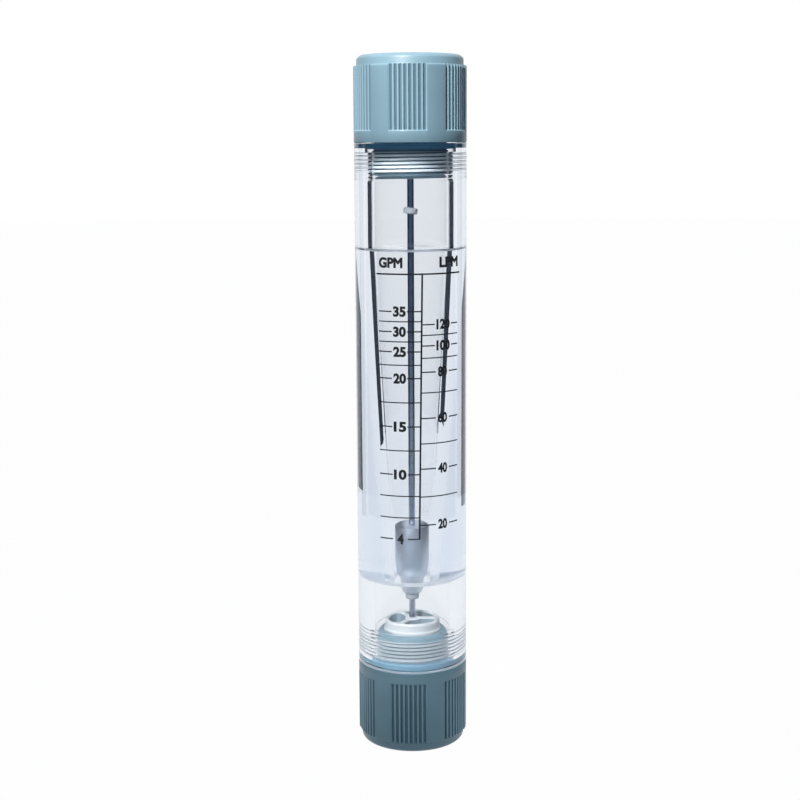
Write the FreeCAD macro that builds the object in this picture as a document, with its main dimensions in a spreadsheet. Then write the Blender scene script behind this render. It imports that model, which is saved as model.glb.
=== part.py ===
"""Rotameter: an in-line flow meter with a taper-bored acrylic tube, a steel float on a guide rod and
two fluted end fittings that screw into the tube.

Millimetres, +Z up. The origin is the centre of the lower fitting's end face, on which the meter stands. The
printed scale faces -Y. The tube and everything in it is turned about Z.
"""
import FreeCAD, Part

import math
import os
import re

import Sketcher

# Driving sizes, in millimetres and degrees. Each is a cell of the sheet "Sizes", under this name.
SIZES = [
    # acrylic metering tube
    ("tube_radius", 29.7),
    ("tube_length", 282.0),
    ("mouth_depth", 5.0),  # plain mouth that takes the seal ring
    ("thread_depth", 20.0),  # from the tube's end to the last turn of its internal thread
    ("thread_wall", 8.0),  # acrylic outside the internal thread's pitch line
    ("thread_clearance", 0.1),  # between the tube's thread and the spigot's, at the pitch line
    ("chamber_wall", 8.9),  # acrylic outside the wide bore below and above the taper
    ("taper_foot_height", 47.0),  # from the tube's lower end to the flat shoulder where the taper starts
    ("taper_length", 180.0),
    ("taper_foot_radius", 10.0),
    ("taper_head_step", 0.9),  # from the wide bore in to the taper's upper end
    ("mouth_chamfer", 0.4),
    # end fittings, one moulding used at both ends
    ("fitting_length", 45.0),
    ("end_rim_step", 1.65),  # from the tube's radius in to the end rim's
    ("end_rim_height", 5.6),
    ("end_dome_height", 2.4),  # of the rim's domed end
    ("end_dome_reach", 3.4),  # from the rim in to the flat of the end face
    ("shoulder_round", 0.8),
    ("seam_chamfer", 0.3),
    ("collar_height", 5.7),  # plain band between the grip panels and the tube
    ("panel_count", 6),
    ("panel_angle", 39.0),
    ("panel_depth", 0.5),
    ("ledge_height", 1.0),  # slope that ends a panel under the collar
    ("flute_count", 8),
    ("flute_pitch_angle", 4.95),
    ("flute_mouth", 1.5),  # width of a flute at the panel's surface
    ("flute_floor", 0.6),  # width at its bottom
    ("flute_depth", 0.65),
    ("lower_panel_turn", 15.6),  # turns the fitting about Z, to where its thread pulls up tight
    ("upper_panel_turn", 17.5),
    ("spigot_length", 18.0),
    ("spigot_chamfer", 2.0),
    ("neck_length", 4.0),
    ("neck_step", 2.4),  # from the spigot's radius in to its neck's
    ("socket_wall", 7.58),  # from the tube's radius in to the pipe thread's minor radius
    ("socket_depth", 20.0),
    ("socket_chamfer", 1.5),
    ("flow_bore_radius", 13.0),
    ("holder_seat_depth", 9.0),
    # seal rings
    ("ring_section", 3.4),
    ("ring_clearance", 0.05),
    # rod holders
    ("holder_radius", 14.95),
    ("holder_clearance", 0.1),
    ("holder_skirt_gap", 0.5),  # under the lower holder's skirt, because it hangs on its flange
    ("flange_radius", 15.8),
    ("flange_height", 1.3),
    ("crown_radius", 15.05),
    ("crown_height", 6.0),
    ("crown_round", 1.2),
    ("web_depth", 3.0),  # how far the lower holder's spokes reach down into its skirt
    ("upper_web_height", 5.0),
    ("window_count", 3),
    ("window_outer_radius", 12.8),
    ("hub_radius", 4.0),
    ("spoke_width", 3.0),
    ("window_corner", 2.2),
    ("window_chamfer", 0.6),
    ("holder_turn", -70.0),
    # guide rod and its fastenings
    ("rod_radius", 1.75),
    ("rod_end_radius", 1.46),
    ("rod_end_clearance", 0.04),
    ("rod_end_reach", 1.2),  # beyond the nut
    ("rod_end_chamfer", 0.3),
    ("nut_flats", 5.5),
    ("nut_height", 2.4),
    ("washer_radius", 3.5),
    ("washer_thickness", 0.5),
    # float and its stops
    ("float_radius", 9.375),
    ("float_barrel_length", 18.75),
    ("nose_ogive_length", 10.5),
    ("nose_ogive_radius", 6.5),
    ("nose_cone_length", 6.0),
    ("nose_cone_radius", 6.0),
    ("nose_tip_length", 3.5),
    ("nose_tip_radius", 3.4),
    ("nose_tip_round", 3.2),
    ("float_bore_clearance", 0.08),
    ("float_countersink", 0.45),
    ("float_edge_chamfer", 0.2),
    ("stop_radius", 3.7),
    ("stop_height", 3.3),
    ("stop_chamfer", 0.6),
    ("stop_clearance", 0.02),
    ("lower_stop_height", 10.7),  # above the lower holder's crown
    ("upper_stop_drop", 16.45),  # from the upper holder down to the top of its stop
]
NAMES = [name for name, _ in SIZES]

doc = FreeCAD.newDocument("Rotameter")
sheet = doc.addObject("Spreadsheet::Sheet", "Sizes")
for row, (name, value) in enumerate(SIZES, start=1):
    sheet.set(f"A{row}", name)
    sheet.set(f"B{row}", str(value))
    sheet.setAlias(f"B{row}", name)
doc.recompute()


def bound(formula):
    """A formula in the sheet's names, written as an expression of the document."""
    return re.sub(r"[a-z_]+", lambda word: "Sizes." + word[0] if word[0] in NAMES else word[0], formula)


def number(formula):
    return float(sheet.evalExpression(bound(formula)))


# Radii and places along Z that several pieces share, as formulas in the sheet's names.
TUBE_THREAD = "tube_radius - thread_wall"
SPIGOT = f"{TUBE_THREAD} - thread_clearance"
NECK = f"{SPIGOT} - neck_step"
SOCKET = "tube_radius - socket_wall"
TUBE_TOP = "fitting_length + tube_length"
OVERALL = "2 * fitting_length + tube_length"
LOWER_SEAT = "fitting_length + spigot_length"
UPPER_SEAT = "fitting_length + tube_length - spigot_length"
CROWN_TOP = f"{LOWER_SEAT} + crown_height"
LOWER_STOP_FOOT = f"{CROWN_TOP} + lower_stop_height"
FLOAT_FOOT = f"{LOWER_STOP_FOOT} + stop_height"
UPPER_STOP_FOOT = f"{UPPER_SEAT} - upper_stop_drop - stop_height"


def place(piece, height, turn="0", flipped=False):
    """Puts a piece at a height on the tube's axis, turned about it, and upside down if flipped."""
    spin = FreeCAD.Rotation(FreeCAD.Vector(0, 0, 1), number(turn))
    flip = FreeCAD.Rotation(FreeCAD.Vector(1, 0, 0), 180 if flipped else 0)
    piece.Placement = FreeCAD.Placement(FreeCAD.Vector(0, 0, 0), spin * flip)
    piece.setExpression("Placement.Base.z", bound(height))


def origin_plane(body, role):
    return next(f for f in body.Origin.OriginFeatures if f.Role == role)


def new_sketch(body, name, role):
    sketch = body.newObject("Sketcher::SketchObject", name)
    sketch.AttachmentSupport = [(origin_plane(body, role), "")]
    sketch.MapMode = "FlatFace"
    return sketch


def arc_between(start, end, radius):
    """The shorter arc that runs counterclockwise from start to end."""
    chord = end - start
    rise = math.sqrt(max(radius**2 - (chord.Length / 2) ** 2, 0.0))
    left = FreeCAD.Vector(-chord.y, chord.x, 0).normalize()
    centre = start + chord * 0.5 + left * rise
    circle = Part.Circle(centre, FreeCAD.Vector(0, 0, 1), radius)
    first = math.atan2(start.y - centre.y, start.x - centre.x)
    last = math.atan2(end.y - centre.y, end.x - centre.x)
    return Part.ArcOfCircle(circle, first, last if last > first else last + 2 * math.pi)


def draw(sketch, corners, rounds=None, hollows=None):
    """Draws a closed outline, counterclockwise, and binds every corner to the sheet.

    corners are pairs of formulas. The side that leaves a corner is straight, or an arc of the radius given
    for that corner's number in rounds (it bulges out) or in hollows (it bulges in).
    """
    rounds = rounds or {}
    hollows = hollows or {}
    points = [FreeCAD.Vector(number(x), number(y), 0) for x, y in corners]
    ends = []
    for i, point in enumerate(points):
        following = points[(i + 1) % len(points)]
        if i in rounds:
            side = sketch.addGeometry(arc_between(point, following, number(rounds[i])))
            ends.append((side, 1, 2))
        elif i in hollows:
            side = sketch.addGeometry(arc_between(following, point, number(hollows[i])))
            ends.append((side, 2, 1))
        else:
            side = sketch.addGeometry(Part.LineSegment(point, following))
            ends.append((side, 1, 2))
    for i, (side, _, finish) in enumerate(ends):
        next_side, next_start, _ = ends[(i + 1) % len(ends)]
        sketch.addConstraint(Sketcher.Constraint("Coincident", side, finish, next_side, next_start))
    for i, (side, start, _) in enumerate(ends):
        for kind, formula, value in (
            ("DistanceX", corners[i][0], points[i].x),
            ("DistanceY", corners[i][1], points[i].y),
        ):
            c = sketch.addConstraint(Sketcher.Constraint(kind, -1, 1, side, start, value))
            sketch.setExpression(f"Constraints[{c}]", bound(formula))
        radius = rounds.get(i) or hollows.get(i)
        if radius:
            c = sketch.addConstraint(Sketcher.Constraint("Radius", side, number(radius)))
            sketch.setExpression(f"Constraints[{c}]", bound(radius))


def turned(label, outline, rounds=None):
    """A body turned about Z from an outline of (radius, height) formulas."""
    body = doc.addObject("PartDesign::Body", label)
    body.Label = label
    sketch = new_sketch(body, f"{label}_outline", "XZ_Plane")
    draw(sketch, outline, rounds)
    turning = body.newObject("PartDesign::Revolution", f"{label}_turning")
    turning.Profile = sketch
    turning.ReferenceAxis = (sketch, ["V_Axis"])
    turning.Angle = 360
    sketch.Visibility = False
    doc.recompute()
    return body


def cut_away(body, feature, what):
    """Stops the build if a cut took nothing off its body."""
    before = feature.BaseFeature.Shape.Volume
    if feature.Shape.isNull() or feature.Shape.Volume > before - 0.1:
        raise RuntimeError(f"{what} of {body.Label} cuts nothing")


def metering_tube():
    """Cast acrylic, bored from both ends: mouth, thread, chamber, then the taper that meters the flow."""
    mouth = f"{NECK} + ring_section + 2 * ring_clearance"
    chamber = "tube_radius - chamber_wall"
    top = "tube_length"
    taper_top = "taper_foot_height + taper_length"
    body = turned(
        "metering_tube",
        [
            (f"{mouth} + mouth_chamfer", "0"),
            ("tube_radius - mouth_chamfer", "0"),
            ("tube_radius", "mouth_chamfer"),
            ("tube_radius", f"{top} - mouth_chamfer"),
            ("tube_radius - mouth_chamfer", top),
            (f"{mouth} + mouth_chamfer", top),
            (mouth, f"{top} - mouth_chamfer"),
            (mouth, f"{top} - mouth_depth"),
            (TUBE_THREAD, f"{top} - mouth_depth"),
            (TUBE_THREAD, f"{top} - thread_depth"),
            (chamber, f"{top} - thread_depth"),
            (chamber, taper_top),
            (f"{chamber} - taper_head_step", taper_top),
            ("taper_foot_radius", "taper_foot_height"),
            (chamber, "taper_foot_height"),
            (chamber, "thread_depth"),
            (TUBE_THREAD, "thread_depth"),
            (TUBE_THREAD, "mouth_depth"),
            (mouth, "mouth_depth"),
            (mouth, "mouth_chamfer"),
        ],
    )
    place(body, "fitting_length")


def end_fitting(label, height, turn, flipped):
    """Moulded ABS: a pipe socket, a spigot that screws into the tube, and fluted grip panels round it."""
    seat = "holder_radius + holder_clearance"
    reach = "fitting_length + spigot_length"
    rim = "tube_radius - end_rim_step"
    dome = "(end_dome_reach ^ 2 + end_dome_height ^ 2) / (2 * end_dome_height)"
    body = turned(
        label,
        [
            (f"{SOCKET} + socket_chamfer", "0"),
            (f"{rim} - end_dome_reach", "0"),
            (rim, "end_dome_height"),
            (rim, "end_rim_height"),
            ("tube_radius - shoulder_round", "end_rim_height"),
            ("tube_radius", "end_rim_height + shoulder_round"),
            ("tube_radius", "fitting_length - seam_chamfer"),
            ("tube_radius - seam_chamfer", "fitting_length"),
            (NECK, "fitting_length"),
            (NECK, "fitting_length + neck_length"),
            (SPIGOT, "fitting_length + neck_length"),
            (SPIGOT, f"{reach} - spigot_chamfer"),
            (f"{SPIGOT} - spigot_chamfer", reach),
            (seat, reach),
            (seat, f"{reach} - holder_seat_depth"),
            ("flow_bore_radius", f"{reach} - holder_seat_depth"),
            ("flow_bore_radius", "socket_depth"),
            (SOCKET, "socket_depth"),
            (SOCKET, "socket_chamfer"),
        ],
        rounds={1: dome, 4: "shoulder_round"},
    )
    # one grip panel: a shallow recess with a sloped ledge under the collar, open at the outer end
    floor = "tube_radius - panel_depth"
    ledge = "fitting_length - collar_height"
    recess_outline = new_sketch(body, f"{label}_panel_outline", "XZ_Plane")
    draw(
        recess_outline,
        [
            ("tube_radius - shoulder_round", "end_rim_height"),
            ("tube_radius + panel_depth", "end_rim_height"),
            ("tube_radius + panel_depth", ledge),
            ("tube_radius", ledge),
            (floor, f"{ledge} - ledge_height"),
            (floor, "end_rim_height + shoulder_round - panel_depth"),
        ],
    )
    recess = body.newObject("PartDesign::Groove", f"{label}_panel")
    recess.Profile = recess_outline
    recess.ReferenceAxis = (recess_outline, ["V_Axis"])
    recess.Midplane = True
    recess.setExpression("Angle", bound("panel_angle"))
    doc.recompute()
    cut_away(body, recess, "the grip panel")
    # its flutes: grooves that narrow to their floor and run out through the shoulder
    ends = new_sketch(body, f"{label}_flute_ends", "XY_Plane")
    flare = "(flute_mouth - flute_floor) / 2 / flute_depth * panel_depth"
    for i in range(int(number("flute_count"))):
        angle = f"(1 deg * flute_pitch_angle * ({i} - (flute_count - 1) / 2))"
        section = (
            ("- flute_depth", "- flute_floor / 2"),
            ("+ panel_depth", f"- flute_mouth / 2 - {flare}"),
            ("+ panel_depth", f"+ flute_mouth / 2 + {flare}"),
            ("- flute_depth", "+ flute_floor / 2"),
        )
        corners = []
        for out, across in section:
            x = f"({floor} {out}) * cos{angle} - (0 {across}) * sin{angle}"
            y = f"({floor} {out}) * sin{angle} + (0 {across}) * cos{angle}"
            corners.append((x, y))
        draw(ends, corners)
    flutes = body.newObject("PartDesign::Pocket", f"{label}_flutes")
    flutes.Profile = ends
    flutes.Reversed = True
    flutes.setExpression("Length", bound(f"{ledge} - ledge_height / 2"))
    doc.recompute()
    cut_away(body, flutes, "the row of flutes")
    # the panels repeat round the fitting
    panels = body.newObject("PartDesign::PolarPattern", f"{label}_panels")
    panels.Originals = [recess, flutes]
    panels.Axis = (recess_outline, ["V_Axis"])
    panels.Angle = 360
    panels.setExpression("Occurrences", bound("panel_count"))
    body.Tip = panels
    doc.recompute()
    cut_away(body, panels, "the pattern of panels")
    place(body, height, turn, flipped)


def seal_ring(label, height):
    """Silicone ring on the neck of a fitting, squeezed in the tube's mouth so that its sides are flat."""
    near = f"{NECK} + ring_clearance"
    far = f"{near} + ring_section"
    bevel = "ring_section * (1 - 1 / sqrt(2))"
    body = turned(
        label,
        [
            (f"{near} + {bevel}", "0"),
            (f"{far} - {bevel}", "0"),
            (far, bevel),
            (far, f"ring_section - {bevel}"),
            (f"{far} - {bevel}", "ring_section"),
            (f"{near} + {bevel}", "ring_section"),
            (near, f"ring_section - {bevel}"),
            (near, bevel),
        ],
    )
    place(body, height)


def cut_windows(body, sketch_role, depth, label):
    """Three kidney-shaped flow windows round the hub, with rounded corners."""
    sketch = new_sketch(body, f"{label}_window_outline", sketch_role)
    half = "(180 deg / window_count)"
    along_outer = "sqrt(window_outer_radius ^ 2 - spoke_width ^ 2 / 4)"
    along_hub = "sqrt(hub_radius ^ 2 - spoke_width ^ 2 / 4)"
    corners = []
    for side, along in ((-1, along_hub), (-1, along_outer), (1, along_outer), (1, along_hub)):
        x = f"{along} * cos{half} + spoke_width / 2 * sin{half}"
        y = f"{side} * ({along} * sin{half} - spoke_width / 2 * cos{half})"
        corners.append((x, y))
    draw(sketch, corners, rounds={1: "window_outer_radius"}, hollows={3: "hub_radius"})
    window = body.newObject("PartDesign::Pocket", f"{label}_window")
    window.Profile = sketch
    window.Midplane = True
    window.setExpression("Length", bound(f"2 * ({depth})"))
    doc.recompute()
    cut_away(body, window, "the window")
    windows = body.newObject("PartDesign::PolarPattern", f"{label}_windows")
    windows.Originals = [window]
    windows.Axis = (sketch, ["N_Axis"])
    windows.Angle = 360
    windows.setExpression("Occurrences", bound("window_count"))
    body.Tip = windows
    doc.recompute()
    cut_away(body, windows, "the pattern of windows")
    return windows


def ease_edges(body, base, name, wanted, kind, size, amount):
    """Rounds or chamfers the edges of the base feature that wanted() picks."""
    edges = [f"Edge{i}" for i, edge in enumerate(base.Shape.Edges, start=1) if wanted(edge)]
    if not edges:
        raise RuntimeError(f"{name} of {body.Label} finds no edge")
    easing = body.newObject(f"PartDesign::{kind}", name)
    easing.Base = (base, edges)
    easing.setExpression(size, bound(amount))
    body.Tip = easing
    doc.recompute()
    return easing


def is_corner(edge):
    """True for a straight edge along Z away from the axis, where a window's sides meet."""
    line = isinstance(edge.Curve, Part.Line)
    start, end = edge.Vertexes[0].Point, edge.Vertexes[-1].Point
    return line and abs(start.z - end.z) > 1 and math.hypot(start.x - end.x, start.y - end.y) < 1e-6


def lower_rod_holder():
    """White acetal spider that hangs in the lower spigot by its flange and carries the guide rod."""
    label = "lower_rod_holder"
    skirt_foot = "-(holder_seat_depth - holder_skirt_gap)"
    rod_hole = "rod_end_radius + rod_end_clearance"
    body = turned(
        label,
        [
            (rod_hole, "-web_depth"),
            ("flow_bore_radius", "-web_depth"),
            ("flow_bore_radius", skirt_foot),
            ("holder_radius", skirt_foot),
            ("holder_radius", "0"),
            ("flange_radius", "0"),
            ("flange_radius", "flange_height"),
            ("crown_radius", "flange_height"),
            ("crown_radius", "crown_height - crown_round"),
            ("crown_radius - crown_round", "crown_height"),
            (rod_hole, "crown_height"),
        ],
        rounds={8: "crown_round"},
    )
    windows = cut_windows(body, "XY_Plane", "crown_height + web_depth", label)
    corners = ease_edges(body, windows, f"{label}_corners", is_corner, "Fillet", "Radius", "window_corner")
    top = number("crown_height")
    rim = number("crown_radius - crown_round")

    def on_window(edge):
        flat = all(abs(v.Point.z - top) < 1e-6 for v in edge.Vertexes)
        middle = edge.valueAt((edge.FirstParameter + edge.LastParameter) / 2)
        out = math.hypot(middle.x, middle.y)
        return flat and number("rod_radius") + 0.5 < out < rim - 0.05

    ease_edges(body, corners, f"{label}_edges", on_window, "Chamfer", "Size", "window_chamfer")
    place(body, LOWER_SEAT, "holder_turn")


def upper_rod_holder():
    """White acetal spider pressed flush into the upper spigot, against the floor of its seat."""
    label = "upper_rod_holder"
    rod_hole = "rod_end_radius + rod_end_clearance"
    body = turned(
        label,
        [
            (rod_hole, "0"),
            ("holder_radius", "0"),
            ("holder_radius", "holder_seat_depth"),
            ("flow_bore_radius", "holder_seat_depth"),
            ("flow_bore_radius", "upper_web_height"),
            (rod_hole, "upper_web_height"),
        ],
    )
    windows = cut_windows(body, "XY_Plane", "upper_web_height", label)
    ease_edges(body, windows, f"{label}_corners", is_corner, "Fillet", "Radius", "window_corner")
    place(body, UPPER_SEAT, "holder_turn")


def guide_rod():
    """Stainless rod, turned down at both ends where it passes a holder's hub and takes a nut."""
    hub_foot = f"{LOWER_SEAT} - web_depth"
    hub_head = f"{UPPER_SEAT} + upper_web_height"
    fastening = "washer_thickness + nut_height + rod_end_reach"
    foot = f"{hub_foot} - ({fastening})"
    head = f"{hub_head} + {fastening}"
    body = turned(
        "guide_rod",
        [
            ("0", "0"),
            ("rod_end_radius - rod_end_chamfer", "0"),
            ("rod_end_radius", "rod_end_chamfer"),
            ("rod_end_radius", f"{CROWN_TOP} - ({foot})"),
            ("rod_radius", f"{CROWN_TOP} - ({foot})"),
            ("rod_radius", f"{UPPER_SEAT} - ({foot})"),
            ("rod_end_radius", f"{UPPER_SEAT} - ({foot})"),
            ("rod_end_radius", f"{head} - ({foot}) - rod_end_chamfer"),
            ("rod_end_radius - rod_end_chamfer", f"{head} - ({foot})"),
            ("0", f"{head} - ({foot})"),
        ],
    )
    place(body, foot)


def washer(label, height):
    disc = doc.addObject("Part::Cylinder", f"{label}_disc")
    disc.setExpression("Radius", bound("washer_radius"))
    disc.setExpression("Height", bound("washer_thickness"))
    piece = bored(label, disc, "washer_thickness")
    place(piece, height)


def nut(label, height):
    hexagon = doc.addObject("Part::Prism", f"{label}_hexagon")
    hexagon.Polygon = 6
    hexagon.setExpression("Circumradius", bound("nut_flats / 2 / cos(30 deg)"))
    hexagon.setExpression("Height", bound("nut_height"))
    piece = bored(label, hexagon, "nut_height")
    place(piece, height)


def bored(label, blank, thickness):
    """The blank with the hole for the rod's threaded end."""
    drill = doc.addObject("Part::Cylinder", f"{label}_drill")
    drill.setExpression("Radius", bound("rod_end_radius + rod_end_clearance"))
    drill.setExpression("Height", bound(f"3 * {thickness}"))
    drill.setExpression("Placement.Base.z", bound(f"-{thickness}"))
    piece = doc.addObject("Part::Cut", label)
    piece.Label = label
    piece.Base = blank
    piece.Tool = drill
    return piece


def float_stop(label, height):
    """Small moulded bush pushed on to the rod."""
    bore = "rod_radius + stop_clearance"
    body = turned(
        label,
        [
            (bore, "0"),
            ("stop_radius - stop_chamfer", "0"),
            ("stop_radius", "stop_chamfer"),
            ("stop_radius", "stop_height - stop_chamfer"),
            ("stop_radius - stop_chamfer", "stop_height"),
            (bore, "stop_height"),
        ],
    )
    place(body, height)


def float_body():
    """Turned steel: a plain barrel over a bullet nose, bored to run on the rod. Its top edge is read."""
    bore = "rod_radius + float_bore_clearance"
    cone = "nose_tip_length + nose_cone_length"
    shoulder = f"{cone} + nose_ogive_length"
    top = f"{shoulder} + float_barrel_length"
    drop = "(float_radius - nose_ogive_radius)"
    body = turned(
        "float_body",
        [
            (f"{bore} + float_countersink", "0"),
            ("nose_tip_radius", "0"),
            ("nose_cone_radius", "nose_tip_length"),
            ("nose_ogive_radius", cone),
            ("float_radius", shoulder),
            ("float_radius", f"{top} - float_edge_chamfer"),
            ("float_radius - float_edge_chamfer", top),
            (f"{bore} + float_countersink", top),
            (bore, f"{top} - float_countersink"),
            (bore, "float_countersink"),
        ],
        rounds={1: "nose_tip_round", 3: f"({drop} ^ 2 + nose_ogive_length ^ 2) / (2 * {drop})"},
    )
    place(body, FLOAT_FOOT)


metering_tube()
end_fitting("lower_end_fitting", "0", "lower_panel_turn", flipped=False)
end_fitting("upper_end_fitting", OVERALL, "upper_panel_turn", flipped=True)
seal_ring("lower_seal_ring", "fitting_length + ring_clearance")
seal_ring("upper_seal_ring", f"{TUBE_TOP} - ring_clearance - ring_section")
lower_rod_holder()
upper_rod_holder()
guide_rod()
float_stop("lower_float_stop", LOWER_STOP_FOOT)
float_stop("upper_float_stop", UPPER_STOP_FOOT)
washer("lower_rod_washer", f"{LOWER_SEAT} - web_depth - washer_thickness")
washer("upper_rod_washer", f"{UPPER_SEAT} + upper_web_height")
nut("lower_rod_nut", f"{LOWER_SEAT} - web_depth - washer_thickness - nut_height")
nut("upper_rod_nut", f"{UPPER_SEAT} + upper_web_height + washer_thickness")
float_body()

NODES = [
    "metering_tube",
    "lower_end_fitting",
    "upper_end_fitting",
    "lower_seal_ring",
    "upper_seal_ring",
    "lower_rod_holder",
    "upper_rod_holder",
    "guide_rod",
    "lower_float_stop",
    "upper_float_stop",
    "lower_rod_washer",
    "upper_rod_washer",
    "lower_rod_nut",
    "upper_rod_nut",
    "float_body",
]

doc.recompute()
for item in doc.Objects:
    if any(word in item.State for word in ("Invalid", "Error")):
        raise RuntimeError(f"{item.Label} failed: {item.State}")
os.makedirs("parts", exist_ok=True)
for node in NODES:
    shape = doc.getObjectsByLabel(node)[0].Shape
    if shape.isNull() or not shape.isValid() or len(shape.Solids) != 1:
        raise RuntimeError(f"{node} is not one valid solid")
    shape.exportStep(f"parts/{node}.step")
    print(f"{node}: {shape.Volume:.1f} mm3, z {shape.BoundBox.ZMin:.2f} to {shape.BoundBox.ZMax:.2f}")
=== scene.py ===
"""The looks of an in-line flow meter: a clear tube with a printed scale, a float on a rod, and two fittings.

Heights and radii are in millimetres from the centre of the lower fitting's end face. The scale faces -Y.
"""

import math

import bmesh
import bpy
import numpy as np
from mathutils import Euler, Matrix, Vector


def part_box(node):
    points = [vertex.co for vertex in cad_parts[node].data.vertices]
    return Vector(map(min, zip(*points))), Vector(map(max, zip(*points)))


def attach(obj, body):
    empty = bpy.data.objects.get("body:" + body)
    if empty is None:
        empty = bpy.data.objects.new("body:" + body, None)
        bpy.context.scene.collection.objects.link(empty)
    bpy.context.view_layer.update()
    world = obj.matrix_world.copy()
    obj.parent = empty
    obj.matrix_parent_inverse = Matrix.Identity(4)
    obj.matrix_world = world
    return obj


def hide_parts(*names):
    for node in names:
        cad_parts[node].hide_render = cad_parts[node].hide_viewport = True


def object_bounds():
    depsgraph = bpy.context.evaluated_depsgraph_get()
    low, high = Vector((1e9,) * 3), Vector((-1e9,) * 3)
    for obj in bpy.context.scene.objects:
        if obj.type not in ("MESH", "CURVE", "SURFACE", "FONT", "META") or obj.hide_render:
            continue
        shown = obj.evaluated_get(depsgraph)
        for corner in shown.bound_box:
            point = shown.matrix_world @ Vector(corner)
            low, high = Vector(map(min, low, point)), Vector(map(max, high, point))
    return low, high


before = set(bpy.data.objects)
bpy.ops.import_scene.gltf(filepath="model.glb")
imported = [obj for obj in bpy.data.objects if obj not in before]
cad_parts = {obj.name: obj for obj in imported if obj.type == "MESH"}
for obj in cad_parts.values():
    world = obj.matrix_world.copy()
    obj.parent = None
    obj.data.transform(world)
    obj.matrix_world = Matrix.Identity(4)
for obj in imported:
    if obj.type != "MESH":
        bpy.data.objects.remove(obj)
cad_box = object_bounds()

# ---- Metering tube ----
# Cast acrylic rod, turned to size, bored from both ends and polished clear. Each end has a plain mouth for
# the seal ring and a screw thread for a fitting. Between them the bore narrows downward in a long taper to a
# flat step, and a small chamfer leads into the taper's head.
MM = 0.001
TURN = 2 * math.pi
tube_low, tube_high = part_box("metering_tube")
tube_radius = tube_high.x / MM
tube_foot, tube_head = tube_low.z / MM, tube_high.z / MM
tube_edge = 0.4
seam = 0.02  # what the tube stands clear of each fitting
mouth_radius = tube_radius - 7.0
mouth_depth = 5.0
thread_end = 20.0  # from the tube's end
thread_pitch = 2.0
chamber_radius = tube_radius - 8.9
bore_minor, bore_major = chamber_radius - 0.4, chamber_radius - 0.27
# the thread's section over one pitch: (share of the pitch, share of the depth)
bore_section = (
    (0.0, 0.0), (0.2, 0.0), (0.3, 0.32), (0.44, 0.94), (0.47, 1.0),
    (0.53, 1.0), (0.56, 0.94), (0.7, 0.32), (0.8, 0.0),
)
taper_foot, taper_head = tube_foot + 47.0, tube_foot + 227.0
taper_foot_radius, taper_head_radius = 10.0, chamber_radius - 0.9
taper_slope = (taper_head_radius - taper_foot_radius) / (taper_head - taper_foot)
chamfer_foot, chamfer_head = taper_head - 1.1, taper_head + 0.2
crisp = 0.06  # height of a narrow ring that keeps the shading crisp beside the chamfer


def even_columns(count):
    """Angles of one turn, with the first repeated as the last so that a thread meets its own next turn."""
    return np.linspace(0, TURN, count + 1)


def ring(angles, radius, height):
    """A row of points round the axis."""
    radius = np.broadcast_to(radius, angles.shape)
    return np.stack([radius * np.cos(angles), radius * np.sin(angles), np.full_like(angles, height)], axis=1)


def rings(angles, outline):
    """Rows round the axis, one for each (radius, height) of an outline."""
    return [ring(angles, radius, height) for radius, height in outline]


def thread_rows(angles, base, tip, foot, head, pitch, section):
    """Rows that follow a right-hand thread between two heights, where it dies out on the base radius."""
    fade = 0.4 * pitch  # over which it dies out
    rows = []
    for turn in range(math.floor(foot / pitch) - 1, math.ceil(head / pitch) + 1):
        for share, out in section:
            height = np.clip((turn + share + angles / TURN) * pitch, foot, head)
            run_out = np.clip(np.minimum(height - foot, head - height) / fade, 0, 1)
            radius = base + (tip - base) * out * run_out
            rows.append(np.stack([radius * np.cos(angles), radius * np.sin(angles), height], axis=1))
    return rows


def in_scene(name, data):
    """A new object in the scene that holds a mesh, a curve, a lamp or a camera."""
    piece = bpy.data.objects.new(name, data)
    bpy.context.scene.collection.objects.link(piece)
    return piece


def skin(name, rows, sharp=32):
    """Closes rows of points round the axis into one solid, smooth except at its edges."""
    points = np.array(rows) * MM
    count, width = points.shape[:2]
    index = np.arange(count * width).reshape(count, width)
    following = np.roll(index, -1, axis=0)
    quads = np.stack([index[:, :-1], index[:, 1:], following[:, 1:], following[:, :-1]], axis=-1)
    mesh = bpy.data.meshes.new(name)
    mesh.from_pydata(points.reshape(-1, 3).tolist(), [], quads.reshape(-1, 4).tolist())
    welded = bmesh.new()
    welded.from_mesh(mesh)
    bmesh.ops.remove_doubles(welded, verts=welded.verts, dist=1e-7)
    bmesh.ops.delete(welded, geom=[e for e in welded.edges if not e.link_faces], context="EDGES")
    bmesh.ops.recalc_face_normals(welded, faces=welded.faces)
    welded.to_mesh(mesh)
    welded.free()
    mesh.shade_smooth()
    mesh.set_sharp_from_angle(angle=math.radians(sharp))
    return in_scene(name, mesh)


columns = even_columns(256)
upper_threads, lower_threads = (
    thread_rows(columns, bore_minor, bore_major, foot, head, thread_pitch, bore_section)
    for foot, head in (
        (tube_head - thread_end, tube_head - mouth_depth),
        (tube_foot + mouth_depth, tube_foot + thread_end),
    )
)
outside = (
    (mouth_radius, tube_foot + tube_edge),
    (mouth_radius + tube_edge, tube_foot + seam),
    (tube_radius - tube_edge, tube_foot + seam),
    (tube_radius, tube_foot + tube_edge),
    (tube_radius, tube_head - tube_edge),
    (tube_radius - tube_edge, tube_head - seam),
    (mouth_radius + tube_edge, tube_head - seam),
    (mouth_radius, tube_head - tube_edge),
    (mouth_radius, tube_head - mouth_depth),
)
bore = (
    (chamber_radius, tube_head - thread_end),
    (chamber_radius, chamfer_head + crisp),
    (chamber_radius, chamfer_head),
    (taper_head_radius, chamfer_foot),
    (taper_head_radius - crisp * taper_slope, chamfer_foot - crisp),
    (taper_foot_radius, taper_foot),
    (chamber_radius, taper_foot),
    (chamber_radius, tube_foot + thread_end),
)
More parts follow.
